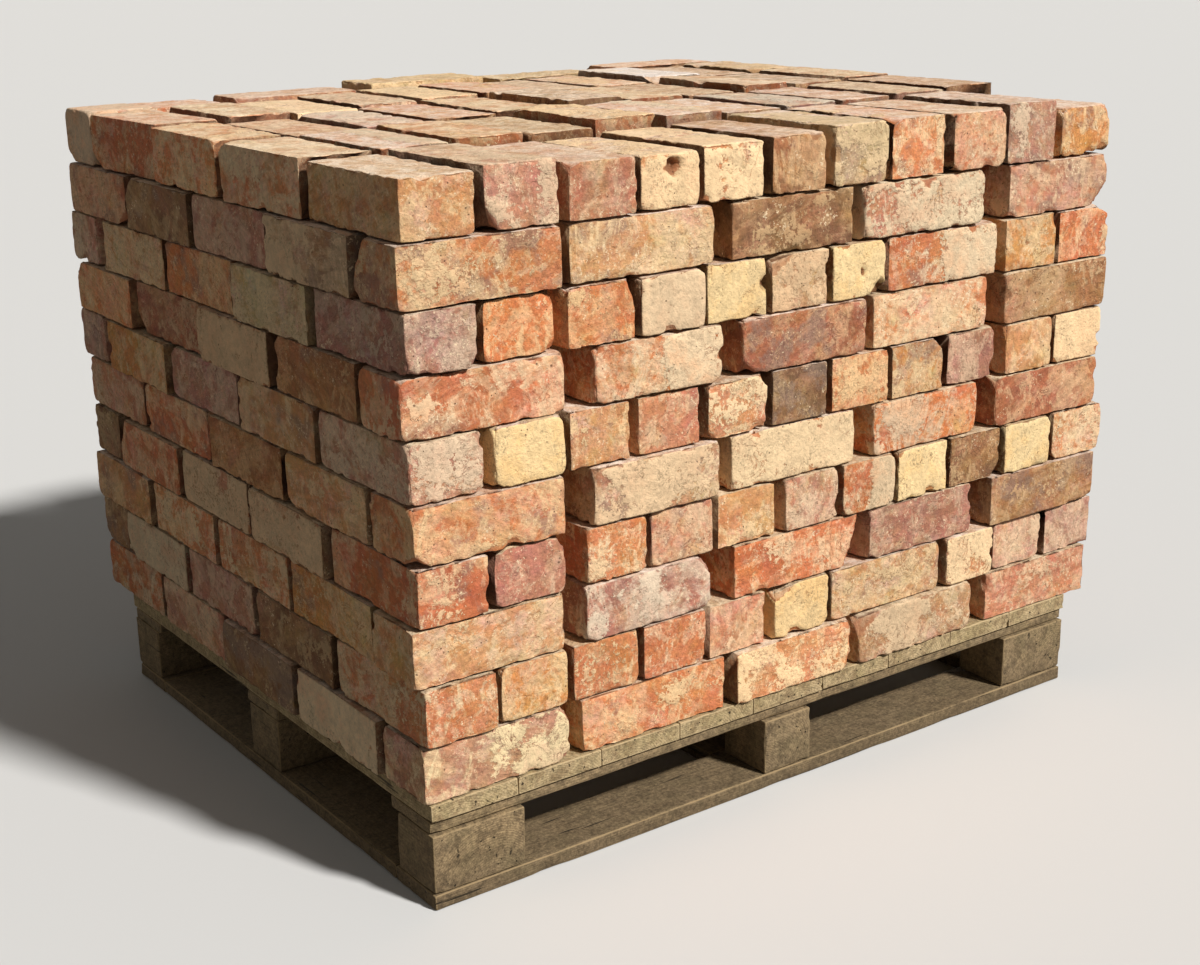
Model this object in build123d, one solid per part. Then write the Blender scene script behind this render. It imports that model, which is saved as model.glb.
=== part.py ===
from build123d import *

import os
from dataclasses import dataclass
from math import cos, inf, radians, sin
from random import Random

os.makedirs("parts", exist_ok=True)

# A block pallet with nine blocks and a closed base carries ten dry courses of old clay bricks.
# The origin is the middle of the pallet's footprint on the ground. X runs along the front,
# Y runs to the back and Z runs up. All lengths are millimetres and all turns are degrees.

# Brick
brick_length = 222.0
brick_width = 105.0
brick_height = 76.0
length_spread = 4.0
width_spread = 2.5
arris_wear = 4.0
arris_wear_spread = 1.5

# Stack
course_count = 10
headers_in_row = 11
stretchers_in_row = 5
header_rows = 4
header_joint = 2.5
header_joint_spread = 2.0
stretcher_joint = 25.5
stretcher_joint_spread = 7.0
row_joint = 4.0
tightest_joint = 2.0
face_step = 4.0
end_step = 6.0
course_turn = 0.35

# Top course, where nothing lies on the bricks
top_turn = 1.2
top_joint = 4.0
top_joint_spread = 4.0
corner_turn = 3.0

# Stack on the pallet
overhang_front = 4.0
overhang_left = 12.0

# Pallet
pallet_length = 1155.0
pallet_depth = 935.0
deck_thickness = 24.0
deck_board_width = 125.0
narrowest_deck_gap = 3.0
stringer_thickness = 18.0
stringer_width = 98.0
stringer_set_back = 5.0
block_height = 80.0
corner_block_width = 136.0
middle_block_width = 86.0
block_depth = 90.0
base_thickness = 22.0
base_board_width = 100.0
middle_base_width = 120.0
sawn_arris = 1.5

# The front of each course as it stands, from the left: how much longer or wider each brick is
# than the brick above, then the open joints between them. Courses count up from the pallet.
front_stretchers = {
    1: ((-4, 20, -6, 14, 6), (13, 6, 8, 28)),
    3: ((0, -14, 6, -10, 14), (25, 33, 18, 30)),
    5: ((-3, -16, 0, -10, 6), (40, 20, 33, 30)),
    7: ((8, -17, 1, 6, 5), (35, 26, 10, 22)),
    9: ((5, 4, -10, 10, -5), (6, 25, 15, 48)),
}
front_headers = {
    2: ((2, 1, 3, 4, -4, -2, "stretcher", -1, 4, 3), (6, 4, 3, 4, 14, 5, 5, 3, 10)),
    4: ((-1, 4, -6, 3, -1, -2, -2, -3, 3, 1, 8), (8, 28, 3, 3, 13, 3, 3, 3, 6, 4)),
    6: ((2, 1, -9, -3, -1, -3, 5, 0, -4, -1, 3), (10, 4, 10, 8, 7, 6, 3, 7, 13, 4)),
    8: ((-3, -1, -1, 1, -3, -3, -3, "stretcher", 6, 7), (8, 14, 3, 3, 5, 3, 4, 8, 3)),
    10: ((-1, 2, -1, -9, -3, -8, -5, 0, 6, -1, 7), (6, 10, 4, 5, 6, 12, 6, 8, 3, 13)),
}

# The open joint in front of the back row, in the courses that have their stretchers at the back
back_joints = {2: 5, 4: 4, 6: 24, 8: 16, 10: 6}

# How much taller each brick of the top course is than the brick above, row by row from the front
top_heights = (
    (-3, 2, -5, -8, -4, 0, 5, 6, 5, 10, -4),
    (0, 2, 6, 3, 12, 10, 6, 8, 9, 12, 14),
    (2, 0, 4, 6, 8, 16, 10, 8, 16, 12, 16),
    (4, 8, 3, 8, 10, 13, 8, 9, 16, 12, 15),
    (5, 9, 16, 10, 15),
)

# Worked out from the sizes above
pallet_height = base_thickness + block_height + stringer_thickness + deck_thickness
deck_board_count = int((pallet_length + narrowest_deck_gap) / (deck_board_width + narrowest_deck_gap))
stack_left = -pallet_length / 2 - overhang_left
stack_right = stack_left + stretchers_in_row * (brick_length + stretcher_joint) - stretcher_joint
stack_front = -pallet_depth / 2 - overhang_front
centred_on_base = (Align.CENTER, Align.CENTER, Align.MIN)


@dataclass
class Brick:
    """One brick in plan: its sizes along X and Y before it is turned, its turn and its middle."""

    size_x: float
    size_y: float
    turn: float = 0.0
    height: float = brick_height
    wear: float = arris_wear
    shows: bool = True
    x: float = 0.0
    y: float = 0.0

    def corners(self):
        """The four corners in plan, in order round the brick."""
        along, across = cos(radians(self.turn)), sin(radians(self.turn))
        signs = ((-1, -1), (1, -1), (1, 1), (-1, 1))
        halves = [(sx * self.size_x / 2, sy * self.size_y / 2) for sx, sy in signs]
        return [
            (self.x + hx * along - hy * across, self.y + hx * across + hy * along)
            for hx, hy in halves
        ]

    def solid(self, base):
        """The brick on the level base, with worn arrises where it shows."""
        body = Box(self.size_x, self.size_y, self.height, align=centred_on_base)
        if self.shows:
            body = chamfer(body.edges(), self.wear)
        return Pos(self.x, self.y, base) * Rot(0, 0, self.turn) * body


def reach(outline, axis, level, far):
    """The furthest or nearest point of an outline along an axis, at a level of the other axis."""
    other = 1 - axis
    hits = []
    for start, end in zip(outline, outline[1:] + outline[:1]):
        low, high = sorted((start[other], end[other]))
        if low <= level <= high and low < high:
            share = (level - start[other]) / (end[other] - start[other])
            hits.append(start[axis] + share * (end[axis] - start[axis]))
    return max(hits) if far else min(hits)


def push(brick, neighbours, axis, joint):
    """Slide a brick along X (0) or Y (1) until it stands one joint clear of its neighbours."""
    other = 1 - axis
    moving = brick.corners()
    shift = -inf
    for neighbour in neighbours:
        still = neighbour.corners()
        low = max(min(p[other] for p in moving), min(p[other] for p in still))
        high = min(max(p[other] for p in moving), max(p[other] for p in still))
        levels = [p[other] for p in moving + still if low <= p[other] <= high]
        for level in levels if low < high else []:
            gap = reach(moving, axis, level, False) - reach(still, axis, level, True)
            shift = max(shift, joint - gap)
    if shift > -inf:
        if axis == 0:
            brick.x += shift
        else:
            brick.y += shift


def lay_row(bays, joints, in_front, left, front, joint_behind):
    """Stand bays of bricks side by side from the left, each pushed against what it meets."""
    laid = []
    beside = []
    for bay, joint in zip(bays, [0.0] + joints):
        ahead = in_front
        for brick in bay:
            brick.x = left + brick.size_x / 2
            brick.y = front + brick.size_y / 2
            push(brick, ahead, 1, joint_behind)
            push(brick, beside, 0, joint)
            push(brick, ahead, 1, joint_behind)
            ahead = [brick]
        beside = bay
        laid += bay
    return laid


def stand_row(bays, joints, in_front, draw, joint_behind):
    """Lay a row from one end of the stack to the other, all joints opened or closed alike."""
    left, right = (side + draw.uniform(-end_step, end_step) for side in (stack_left, stack_right))
    row = lay_row(bays, joints, in_front, left, stack_front, joint_behind)
    spare = (right - max(x for brick in row for x, _ in brick.corners())) / len(joints)
    joints = [max(tightest_joint, joint + spare) for joint in joints]
    return lay_row(bays, joints, in_front, left, stack_front, joint_behind)


def header_bay(draw, turn, wider=None):
    """One brick that runs from front to back."""
    width = brick_width + (draw.uniform(-width_spread, width_spread) if wider is None else wider)
    length = brick_length + draw.uniform(-length_spread, length_spread)
    return [Brick(width, length, draw.uniform(-turn, turn), wear=worn(draw))]


def stretcher_bay(draw, turn, longer=None, deep=1):
    """One brick that runs along X, or two, one behind the other."""
    spare = draw.uniform(-length_spread, length_spread) if longer is None else longer
    return [
        Brick(
            brick_length + (spare if number == 0 else 0.0),
            brick_width + draw.uniform(-width_spread, width_spread),
            draw.uniform(-turn, turn),
            wear=worn(draw),
            shows=number == 0,
        )
        for number in range(deep)
    ]


def worn(draw):
    """How much of one brick's arrises is worn off."""
    return arris_wear + draw.uniform(-arris_wear_spread, arris_wear_spread)


def spread_joints(draw, count, joint, spread):
    """Open joints for a row, none tighter than the tightest joint."""
    return [max(tightest_joint, joint + draw.uniform(-spread, spread)) for _ in range(count - 1)]


def front_row(course, draw):
    """The bays and joints of the row at the front, as the front of that course stands."""
    if course in front_stretchers:
        sizes, joints = front_stretchers[course]
        return [stretcher_bay(draw, course_turn, longer) for longer in sizes], list(joints)
    sizes, joints = front_headers[course]
    bays = []
    for wider in sizes:
        if wider == "stretcher":
            bays.append(stretcher_bay(draw, course_turn, -length_spread, 2))
        else:
            bays.append(header_bay(draw, course_turn, wider))
    return bays, list(joints)


def lay_course(course):
    """All bricks of one course, laid row by row from the front."""
    draw = Random(course)
    top = course == course_count
    turn = top_turn if top else course_turn
    joint, spread = (top_joint, top_joint_spread) if top else (header_joint, header_joint_spread)
    stretchers_first = course in front_stretchers
    rows_behind = header_rows - (0 if stretchers_first else 1)

    bays, joints = front_row(course, draw)
    row = stand_row(bays, joints, [], draw, row_joint)
    for brick in row:
        brick.y += draw.uniform(-face_step, face_step) if brick.shows else face_step
    rows = [row]

    for number in range(rows_behind):
        last = number == rows_behind - 1
        bays = [header_bay(draw, turn) for _ in range(headers_in_row)]
        if top and last:
            bays[0][0].turn = corner_turn
        joints = spread_joints(draw, headers_in_row, joint, spread)
        row = stand_row(bays, joints, row, draw, row_joint)
        for brick in row[1:-1]:
            brick.shows = top or (stretchers_first and last)
        rows.append(row)

    if not stretchers_first:
        bays = [stretcher_bay(draw, turn) for _ in range(stretchers_in_row)]
        joints = spread_joints(draw, stretchers_in_row, stretcher_joint, stretcher_joint_spread)
        rows.append(stand_row(bays, joints, row, draw, back_joints[course]))

    if top:
        for row, heights in zip(rows, top_heights):
            for brick, taller in zip(row, heights):
                brick.height += taller
    return [brick for row in rows for brick in row]


def write(name, solids):
    """Write the solids of one node."""
    node = Compound(label=name, children=list(solids))
    export_step(node, f"parts/{name}.step")


def write_bricks():
    """Write each course as the bricks that show and the bricks that are covered all round."""
    for course in range(1, course_count + 1):
        base = pallet_height + (course - 1) * brick_height
        bricks = lay_course(course)
        write(f"course_{course:02d}", [brick.solid(base) for brick in bricks if brick.shows])
        covered = [brick.solid(base) for brick in bricks if not brick.shows]
        if covered:
            write(f"course_{course:02d}_inner", covered)


def timber(size_x, size_y, size_z, x, y, z):
    """One sawn piece on the level z, its long edges eased."""
    body = Box(size_x, size_y, size_z, align=centred_on_base)
    grain = Axis.X if size_x >= max(size_y, size_z) else Axis.Y if size_y >= size_z else Axis.Z
    body = chamfer(body.edges().filter_by(grain), sawn_arris)
    return Pos(x, y, z) * body


def write_pallet():
    """Write the base boards, blocks, stringers and deck boards, from the ground up."""
    half_length, half_depth = pallet_length / 2, pallet_depth / 2
    rows = {"front": -1, "middle": 0, "back": 1}
    columns = {"left": -1, "middle": 0, "right": 1}
    between = pallet_depth - 2 * base_board_width

    for row in ("front", "back"):
        y = rows[row] * (half_depth - base_board_width / 2)
        board = timber(pallet_length, base_board_width, base_thickness, 0, y, 0)
        write(f"base_board_{row}", [board])
    for column, side in columns.items():
        width = middle_base_width if column == "middle" else base_board_width
        x = side * (half_length - width / 2)
        board = timber(width, between, base_thickness, x, 0, 0)
        write(f"base_board_{column}", [board])

    for row, back in rows.items():
        y = back * (half_depth - block_depth / 2)
        for column, side in columns.items():
            width = middle_block_width if column == "middle" else corner_block_width
            x = side * (half_length - width / 2)
            block = timber(width, block_depth, block_height, x, y, base_thickness)
            write(f"block_{row}_{column}", [block])
        y = back * (half_depth - stringer_set_back - stringer_width / 2)
        level = base_thickness + block_height
        board = timber(pallet_length, stringer_width, stringer_thickness, 0, y, level)
        write(f"stringer_{row}", [board])

    level = pallet_height - deck_thickness
    pitch = (pallet_length - deck_board_width) / (deck_board_count - 1)
    for number in range(deck_board_count):
        x = -half_length + deck_board_width / 2 + number * pitch
        board = timber(deck_board_width, pallet_depth, deck_thickness, x, 0, level)
        write(f"deck_board_{number + 1}", [board])


write_pallet()
write_bricks()
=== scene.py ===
"""A pallet of old clay bricks: every brick worn and mortar-stained, on a weathered softwood pallet."""
import logging
from dataclasses import dataclass, field
from enum import Enum
from math import pi, radians, tau

import bmesh
import bpy
import numpy as np
from mathutils import Matrix, Vector


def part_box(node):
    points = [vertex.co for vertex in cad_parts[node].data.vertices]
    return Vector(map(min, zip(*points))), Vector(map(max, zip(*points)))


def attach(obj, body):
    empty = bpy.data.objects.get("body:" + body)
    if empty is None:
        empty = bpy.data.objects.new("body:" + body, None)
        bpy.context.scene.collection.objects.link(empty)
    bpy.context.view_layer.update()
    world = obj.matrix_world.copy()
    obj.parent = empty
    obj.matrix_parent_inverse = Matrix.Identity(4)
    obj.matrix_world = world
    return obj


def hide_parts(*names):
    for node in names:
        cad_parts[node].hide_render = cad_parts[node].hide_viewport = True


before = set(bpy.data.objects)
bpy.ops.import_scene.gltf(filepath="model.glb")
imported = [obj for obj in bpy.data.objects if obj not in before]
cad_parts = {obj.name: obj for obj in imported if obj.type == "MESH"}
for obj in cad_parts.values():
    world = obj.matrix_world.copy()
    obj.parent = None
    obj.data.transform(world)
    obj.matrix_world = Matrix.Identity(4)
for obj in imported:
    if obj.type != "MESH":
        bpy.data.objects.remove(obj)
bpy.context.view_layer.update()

MM = 0.001
LOG = logging.getLogger("pallet_of_bricks")
Socket = bpy.types.NodeSocket
Colour = tuple[float, float, float, float]


# Shading


def linear(hex_code: str) -> Colour:
    """Turn an sRGB hex colour into the linear RGBA that Blender works in.

    Args:
        hex_code: six hex digits, such as "c46a3c".

    Returns:
        Red, green, blue and an alpha of 1.
    """
    channels = [int(hex_code[place:place + 2], 16) / 255 for place in (0, 2, 4)]
    curved = [c / 12.92 if c <= 0.04045 else ((c + 0.055) / 1.055) ** 2.4 for c in channels]
    return (*curved, 1.0)


class Shading:
    """The nodes of one material or world, and the colour that its layers build up.

    Attributes:
        tree: the node tree.
        fields: the patterns that the layers share, by name.
        colour: the colour so far.
    """

    def __init__(self, owner: bpy.types.Material | bpy.types.World) -> None:
        """Start from an empty node tree.

        Args:
            owner: the material or world to shade.
        """
        owner.use_nodes = True
        self.tree = owner.node_tree
        self.tree.nodes.clear()
        self.fields: dict[str, Socket] = {}
        self.colour: Socket | Colour | None = None

    def add(self, kind: str, inputs: dict | None = None, output: int | str = 0,
            **settings: object) -> Socket | None:
        """Add one shader node with its settings, values and links.

        Args:
            kind: the node's type without its "ShaderNode" prefix.
            inputs: for each input, by name or number, a value or the socket that feeds it.
            output: the name or number of the output that is wanted.
            settings: the node's own properties.

        Returns:
            That output, or None for a node that has none.
        """
        node = self.tree.nodes.new("ShaderNode" + kind)
        for name, value in settings.items():
            setattr(node, name, value)
        for name, value in (inputs or {}).items():
            if isinstance(value, Socket):
                self.tree.links.new(value, node.inputs[name])
            else:
                node.inputs[name].default_value = value
        return node.outputs[output] if node.outputs else None

    def lay(self, paint: Socket | str, mask: Socket | float, low: float | None = None, high: float = 1.0,
            most: float = 1.0, least: float = 0.0, blend: str = "MIX") -> Socket | float:
        """Lay a paint over the colour through a mask, or where a pattern rises past a level.

        Args:
            paint: the paint's hex colour or socket.
            mask: the mask, or the pattern where a level is given.
            low: the level at which the paint starts.
            high: the level at which it covers most; under low, it lies where the pattern is weak.
            most: how well it covers there.
            least: how well it covers elsewhere.
            blend: how it mixes with the colour.

        Returns:
            The mask.
        """
        if low is not None:
            mask = self.add("MapRange", {0: mask, 1: low, 2: high, 3: least, 4: most})
        if isinstance(paint, str):
            paint = linear(paint)
        self.colour = self.add("Mix", {0: mask, 6: self.colour, 7: paint}, 2, data_type="RGBA",
                               blend_type=blend)
        return mask

    def finish(self, roughness: float, specular: float = 0.5, normal: Socket | None = None) -> None:
        """Close a material with a surface of the colour.

        Args:
            roughness: how matt it is.
            specular: how much light it mirrors; 0.5 is plain.
            normal: its relief, if it has any.
        """
        inputs = {"Base Color": self.colour, "Roughness": roughness, "Specular IOR Level": specular}
        if normal is not None:
            inputs["Normal"] = normal
        self.add("OutputMaterial", {0: self.add("BsdfPrincipled", inputs)})


# Points and meshes

HASH_PRIMES = (73856093, 19349663, 83492791, 2654435761)
HASH_MIXERS = ((15, 2246822519), (13, 3266489917))


def lattice_noise(points: np.ndarray, cell: float, seed: int, octaves: int = 1) -> np.ndarray:
    """Smooth random values in space, the same for the same point and seed.

    Args:
        points: one row of X, Y and Z for each point, in metres.
        cell: the size of the largest lumps, in metres.
        seed: picks one pattern out of many.
        octaves: how many finer layers are added, each half as large and half as strong.

    Returns:
        A value for each point, about 0.5 on average and mostly between 0.2 and 0.8.
    """
    total = np.zeros(len(points))
    weight_sum = 0.0
    for octave in range(octaves):
        scaled = points * (2**octave / cell) + 17.3 * octave
        corner = np.floor(scaled).astype(np.int64)
        share = scaled - corner
        share = share * share * (3 - 2 * share)
        value = np.zeros(len(points))
        for number in range(8):
            step = np.array([number & 1, number >> 1 & 1, number >> 2 & 1])
            key = (seed + octave) * HASH_PRIMES[3]
            for axis in range(3):
                key = key ^ (corner[:, axis] + step[axis]) * HASH_PRIMES[axis]
            for shift, mixer in HASH_MIXERS:
                key = (key ^ key >> shift) * mixer & 0xFFFFFFFF
            random = (key >> 8 & 0xFFFF) / 65535
            value += random * np.prod(np.where(step == 1, share, 1 - share), axis=1)
        weight = 0.5**octave
        total += weight * value
        weight_sum += weight
    return total / weight_sum


def ramp(values: np.ndarray, low: float, high: float) -> np.ndarray:
    """Rise smoothly from 0 at low to 1 at high."""
    share = np.clip((values - low) / (high - low), 0, 1)
    return share * share * (3 - 2 * share)


def gridded_block(counts: list[int]) -> bmesh.types.BMesh:
    """Cut a block into a grid whose corners are whole numbers.

    Args:
        counts: the number of steps along each axis.

    Returns:
        The block.
    """
    block = bmesh.new()
    bmesh.ops.create_cube(block, size=1.0, matrix=Matrix.Translation((0.5, 0.5, 0.5)))
    for axis, count in enumerate(counts):
        runs = [e for e in block.edges if abs(e.verts[0].co[axis] - e.verts[1].co[axis]) > 0.5]
        bmesh.ops.subdivide_edges(block, edges=runs, cuts=count - 1, use_grid_fill=True)
    bmesh.ops.scale(block, vec=counts, verts=block.verts)
    return block


def graded_lines(size: float, edge: list[float] | tuple[float, ...], spacing: float,
                 fewest: int) -> np.ndarray:
    """Place the mesh lines along one side, close together behind its ends.

    Args:
        size: the side's length.
        edge: the lines behind each end, from it.
        spacing: the distance between the lines in the middle.
        fewest: the fewest steps there.

    Returns:
        The lines' places from the start of the side.
    """
    inner = size - 2 * edge[-1]
    count = max(fewest, round(inner / spacing))
    middle = [edge[-1] + inner * step / count for step in range(1, count)]
    return np.array([0.0, *edge, *middle, *(size - line for line in reversed(edge)), size])


def on_lines(mesh: bpy.types.Mesh, lines: list[np.ndarray]) -> np.ndarray:
    """Find where the corners of a gridded block lie.

    Args:
        mesh: the block, with whole numbers for places.
        lines: the mesh lines' places along each axis.

    Returns:
        The place of each corner.
    """
    steps = np.zeros(len(mesh.vertices) * 3)
    mesh.vertices.foreach_get("co", steps)
    steps = np.rint(steps.reshape(-1, 3)).astype(int)
    return np.column_stack([lines[axis][steps[:, axis]] for axis in range(3)])


def round_box(points: np.ndarray, half: np.ndarray, radius: np.ndarray) -> tuple[np.ndarray, np.ndarray]:
    """Round the arrises of a box.

    Args:
        points: the box's points, from its middle.
        half: half its size.
        radius: the radius of the arrises at each point.

    Returns:
        The rounded points, and the way outwards at each.
    """
    core = np.clip(points, -(half - radius), half - radius)
    reach = points - core
    length = np.linalg.norm(reach, axis=1, keepdims=True)
    outward = reach / np.maximum(length, 1e-9)
    return core + outward * np.minimum(length, radius), outward


def as_mesh(name: str, block: bmesh.types.BMesh) -> bpy.types.Mesh:
    """Turn a block into a mesh and free it.

    Args:
        name: the mesh's name.
        block: the block.

    Returns:
        The mesh.
    """
    mesh = bpy.data.meshes.new(name)
    block.to_mesh(mesh)
    block.free()
    return mesh


def add_object(name: str, data: bpy.types.ID) -> bpy.types.Object:
    """Put a mesh, a light or a camera in the scene.

    Args:
        name: the object's name.
        data: what it shows.

    Returns:
        The object.
    """
    added = bpy.data.objects.new(name, data)
    bpy.context.collection.objects.link(added)
    return added


def make_piece(mesh: bpy.types.Mesh, places: np.ndarray, traits: dict[str, np.ndarray]) -> bpy.types.Object:
    """Make a smooth piece from its mesh, its points and what its finish reads.

    Args:
        mesh: the mesh, with the piece's name.
        places: the place of each point in the frame.
        traits: for each attribute one, three or four values a point.

    Returns:
        The piece.
    """
    mesh.vertices.foreach_set("co", places.ravel())
    kinds = {1: ("FLOAT", "value"), 3: ("FLOAT_VECTOR", "vector"), 4: ("FLOAT_COLOR", "color")}
    for key, values in traits.items():
        kind, target = kinds[values.size // len(values)]
        mesh.attributes.new(key, kind, "POINT").data.foreach_set(target, values.ravel())
    mesh.polygons.foreach_set("use_smooth", [True] * len(mesh.polygons))
    mesh.update()
    return add_object(mesh.name, mesh)


def dress(obj: bpy.types.Object, material: bpy.types.Material) -> None:
    """Give an object one material."""
    obj.data.materials.clear()
    obj.data.materials.append(material)


def hand_over(piece: bpy.types.Object, node: str, material: bpy.types.Material) -> None:
    """Dress a piece and set it in place of its frame node.

    Args:
        piece: the piece.
        node: the frame node that it stands for.
        material: its finish.
    """
    dress(piece, material)
    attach(piece, "root")
    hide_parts(node)


# The looks of the bricks


@dataclass(frozen=True)
class Clay:
    """One look of fired clay.

    Attributes:
        body: the main colour.
        mottle: the colour of its softer patches.
        scorch: the colour of its kiln marks.
        crust: the colour of the old mortar that sticks to it.
        cover: how much of a face the mortar covers, from 0 to 1.
        lime: how densely pale grit and lime specks show, from 0 to 1.
        half: 1 if only the right half carries mortar, -1 if only the left half does, 0 if both may.
    """

    body: str
    mottle: str
    scorch: str
    crust: str
    cover: float
    lime: float
    half: int = 0


class ClayKind(Enum):
    """The bricks' looks, by the name that a yard would give them."""

    ORANGE = Clay("da8e5e", "e8b388", "c87a50", "f3d2a2", 0.22, 0.45)
    BUFF = Clay("d8a272", "e8c299", "c1865c", "f0d1a2", 0.24, 0.5)
    OCHRE = Clay("dc9c60", "e8be8e", "c27f4c", "f2d4a4", 0.2, 0.4)
    ROSE = Clay("d49271", "e2b390", "b97757", "eccaa4", 0.22, 0.5)
    PINK = Clay("cc957a", "deb99b", "b5836a", "ead0b0", 0.3, 0.65)
    MAUVE = Clay("be8874", "d0a892", "a17162", "dfc2a6", 0.22, 0.55)
    RED = Clay("d6865c", "e8b48c", "bd704c", "f2d2aa", 0.22, 0.5)
    MAROON = Clay("b97859", "cb9a79", "985f47", "dab48e", 0.16, 0.35)
    BROWN = Clay("b38056", "c89a71", "906040", "d6b388", 0.18, 0.35)
    GREY = Clay("9b7351", "b28a64", "775840", "c8aa82", 0.22, 0.4)
    YELLOW = Clay("cd9160", "f3cb8a", "b4744a", "ffe4ae", 1.1, 0.35)
    CREAM = Clay("dc9c70", "efcaa0", "c58258", "fbdfb2", 0.78, 0.55)
    MORTAR = Clay("cc9a74", "ddb892", "ac7855", "e9cda6", 0.66, 0.6)
    OLIVE = Clay("d3b286", "e2c6a0", "b48f66", "e2ca9e", 0.5, 0.45)
    SALMON = Clay("e0976a", "f0c69e", "c57b4e", "f6dbb0", 0.28, 0.65)
    LIMED = Clay("c88c6c", "dab08e", "a66f54", "ecdab8", 0.8, 0.55)
    HALF_LIMED = Clay("d68a5c", "e5b68e", "bb7048", "efdbb8", 0.88, 0.5, 1)
    HALF_WASHED = Clay("d98a5a", "e4b085", "bc7048", "e4cbac", 0.88, 0.5, -1)
    PINK_LIMED = Clay("c99a7c", "dab699", "ab7962", "f6e4b8", 0.9, 0.45, 1)
    CHALKY = Clay("c28c78", "d8b09a", "a67263", "eadcc6", 0.5, 0.6)
    WHITEWASHED = Clay("e4c6a4", "fbeacd", "c49c7a", "ffffff", 1.3, 0.6)


# How the front of each course looks, from the left; courses count up from the pallet
FRONT_CLAYS = {
    10: "BUFF PINK ROSE CREAM CREAM BROWN OLIVE SALMON RED PINK OCHRE",
    9: "ORANGE BUFF GREY LIMED ROSE",
    8: "MAUVE ORANGE ORANGE MORTAR YELLOW MORTAR YELLOW HALF_LIMED OCHRE RED",
    7: "RED HALF_LIMED MAROON SALMON BROWN",
    6: "PINK YELLOW BUFF ROSE CREAM GREY ORANGE OCHRE MAUVE BUFF CREAM",
    5: "ORANGE MORTAR CREAM HALF_WASHED MAROON",
    4: "RED MAUVE SALMON ROSE BUFF PINK HALF_LIMED YELLOW GREY YELLOW SALMON",
    3: "BUFF CHALKY RED MAUVE BROWN",
    2: "SALMON OCHRE ORANGE RED ROSE YELLOW BUFF CREAM PINK MAUVE",
    1: "PINK_LIMED ORANGE CREAM MORTAR ROSE",
}
# Where the whitewashed brick lies in the top course, in metres
WHITE_TOP = np.array([0.4, 0.32])
# All other bricks are drawn from these, in proportion
OTHER_CLAYS = (
    "ORANGE ORANGE BUFF BUFF OCHRE ROSE ROSE PINK MAUVE MAUVE RED RED MAROON BROWN BROWN GREY GREY "
    "YELLOW CREAM MORTAR LIMED OLIVE SALMON HALF_LIMED HALF_WASHED CHALKY"
)


@dataclass(frozen=True)
class Hole:
    """A hole in the front of one brick.

    Attributes:
        course: the brick's course.
        place: its place in the front row, from the left.
        across: the hole's place across the brick's front, from 0 at the left to 1.
        up: its place up the front, from 0 to 1.
        reach: its radius, in metres.
    """

    course: int
    place: int
    across: float
    up: float
    reach: float


FRONT_HOLES = (
    Hole(10, 3, 0.56, 0.77, 13 * MM),
    Hole(10, 6, 0.55, 0.42, 3.4 * MM),
    Hole(8, 4, 0.98, 0.55, 9 * MM),
    Hole(8, 6, 0.58, 0.46, 5.5 * MM),
    Hole(8, 6, 0.9, 0.08, 15 * MM),
    Hole(8, 8, 0.44, 0.52, 5.0 * MM),
)


# Where the bricks lie


class Side(Enum):
    """A face of a brick: the number of its axis and the way it looks along it."""

    START = (0, -1)
    END = (0, 1)
    LEFT = (1, -1)
    RIGHT = (1, 1)
    BOTTOM = (2, -1)
    TOP = (2, 1)


@dataclass
class Brick:
    """One brick of a course, as the frame places it.

    Attributes:
        middle: the middle of its base, in metres.
        along: the way its length runs, as a unit vector in plan.
        size: its length, width and height, in metres.
        open_sides: the faces that can be seen.
        kind: its look.
        holes: the holes in its front.
    """

    middle: np.ndarray
    along: np.ndarray
    size: np.ndarray
    open_sides: set[Side] = field(default_factory=set)
    kind: ClayKind = ClayKind.ORANGE
    holes: list[Hole] = field(default_factory=list)

    @property
    def across(self) -> np.ndarray:
        """The way its width runs, as a unit vector in plan."""
        return np.array([-self.along[1], self.along[0]])

    @property
    def front(self) -> float:
        """The Y of its foremost reach."""
        length, width = abs(self.along[1]) * self.size[0], abs(self.along[0]) * self.size[1]
        return self.middle[1] - (length / 2 + width / 2)

    def to_world(self, local: np.ndarray) -> np.ndarray:
        """Move points from the brick's own axes to the frame."""
        plan = local[:, :1] * self.along + local[:, 1:2] * self.across
        return np.column_stack([plan, local[:, 2]]) + self.middle

    def holds(self, point: np.ndarray) -> bool:
        """Say whether a point of the frame is inside the brick.

        Args:
            point: the point.

        Returns:
            True if it is inside.
        """
        offset = point - self.middle
        in_length = abs(offset[:2] @ self.along) < self.size[0] / 2
        in_width = abs(offset[:2] @ self.across) < self.size[1] / 2
        return bool(in_length and in_width and 0 < offset[2] < self.size[2])


def islands(node: str) -> list[np.ndarray]:
    """Take the loose solids of a frame node apart.

    Args:
        node: the node's name.

    Returns:
        For each solid its triangles, as an array of triangle, corner and coordinate.
    """
    shape = bmesh.new()
    shape.from_mesh(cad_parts[node].data)
    bmesh.ops.remove_doubles(shape, verts=shape.verts, dist=0.01 * MM)
    shape.faces.ensure_lookup_table()
    seen: set[int] = set()
    groups = []
    for start in shape.faces:
        if start.index in seen:
            continue
        seen.add(start.index)
        waiting, group = [start], []
        while waiting:
            face = waiting.pop()
            group.append([tuple(corner.co) for corner in face.verts])
            for other in (other for edge in face.edges for other in edge.link_faces):
                if other.index not in seen:
                    seen.add(other.index)
                    waiting.append(other)
        groups.append(np.array(group))
    shape.free()
    return groups


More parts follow.
